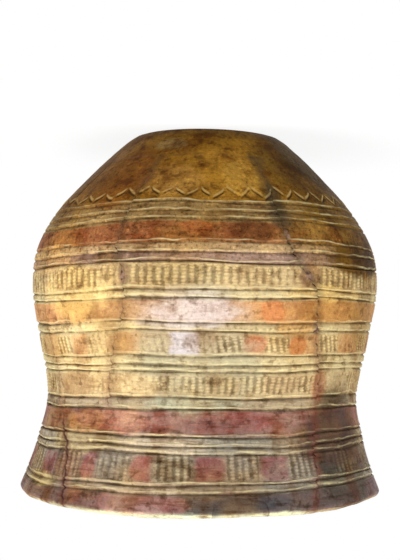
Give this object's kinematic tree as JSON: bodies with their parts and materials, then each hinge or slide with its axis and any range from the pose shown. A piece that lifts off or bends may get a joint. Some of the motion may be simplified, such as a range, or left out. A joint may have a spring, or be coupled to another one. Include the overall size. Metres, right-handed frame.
{
  "type": "pottery beaker",
  "caption": "Bell-shaped hand-built clay beaker with a flared lip, full belly and small flat foot, mended from sherds.",
  "frame": {"origin": "middle of the foot's underside, where the beaker stands", "axes": "+Z from the foot to the mouth along the pot's axis; the pictured side faces -Y. The picture shows the beaker upside down."},
  "size_m": [0.1372, 0.1371, 0.1364],
  "materials": {
    "burnished_clay": "burnished, semi-matt, mottled by the fire",
    "toned_filler": "matt, toned to the clay"
  },
  "bodies": {
    "root": {"belly_back_left_sherd": "burnished_clay", "belly_back_right_sherd": "burnished_clay", "belly_front_right_sherd": "burnished_clay", "belly_front_sherd": "burnished_clay", "belly_left_sherd": "burnished_clay", "belly_right_sherd": "burnished_clay", "fill_belly_left": "toned_filler", "fill_belly_right": "toned_filler", "fill_flank_left": "toned_filler", "fill_neck_left": "toned_filler", "foot_sherd": "burnished_clay", "lower_back_left_sherd": "burnished_clay", "lower_back_sherd": "burnished_clay", "lower_front_right_sherd": "burnished_clay", "lower_front_sherd": "burnished_clay", "lower_left_sherd": "burnished_clay", "lower_right_sherd": "burnished_clay", "rim_back_left_sherd": "burnished_clay", "rim_back_right_sherd": "burnished_clay", "rim_chip": "burnished_clay", "rim_front_sherd": "burnished_clay", "rim_left_sherd": "burnished_clay", "rim_right_sherd": "burnished_clay"}
  },
  "joints": []
}
